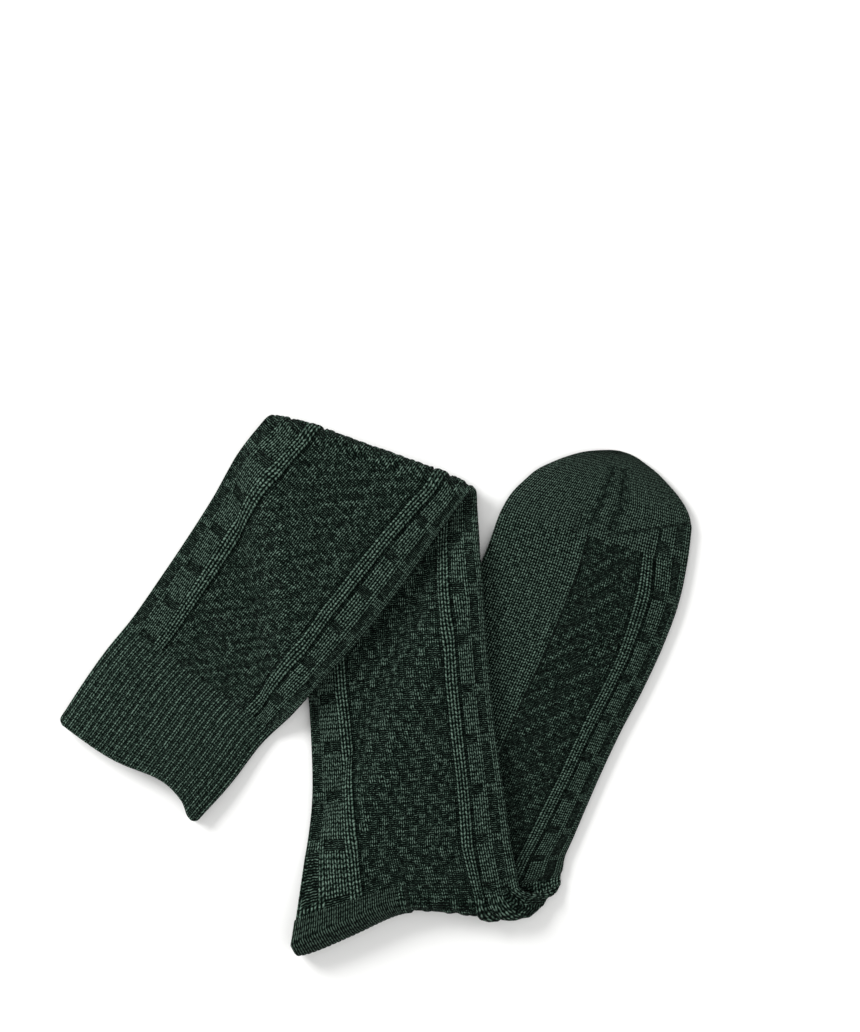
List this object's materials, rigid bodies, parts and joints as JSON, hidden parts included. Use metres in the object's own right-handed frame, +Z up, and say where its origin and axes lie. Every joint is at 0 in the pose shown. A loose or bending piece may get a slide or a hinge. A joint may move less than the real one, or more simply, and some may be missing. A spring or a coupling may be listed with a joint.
{
  "type": "knee-high wool sock",
  "caption": "Knee-high knitted wool sock lying folded on a flat surface: ribbed cuff, textured leg folded over once, plain heel and sole, rounded toe, open at the cuff.",
  "frame": {"origin": "middle of the lying sock's box, on the plane that it lies on", "axes": "+Z up from the plane that the sock lies on; +Y along that plane, from the heel's corner towards the fold of the leg; +X along it, from the open cuff towards the toe's side"},
  "size_m": [0.2844, 0.2412, 0.0178],
  "materials": {
    "cuff_wool": "matt dark green heathered wool in single ribs",
    "leg_wool": "matt dark green heathered wool in a textured knit of ribs, blocks and slanting bumps",
    "heel_wool": "matt dark green heathered wool, plain knit",
    "foot_wool": "matt dark green heathered wool, plain sole and textured instep",
    "toe_wool": "matt dark green heathered wool, plain knit"
  },
  "bodies": {
    "root": {"cuff": "cuff_wool", "leg": "leg_wool", "heel": "heel_wool", "foot": "foot_wool", "toe": "toe_wool"}
  },
  "joints": []
}
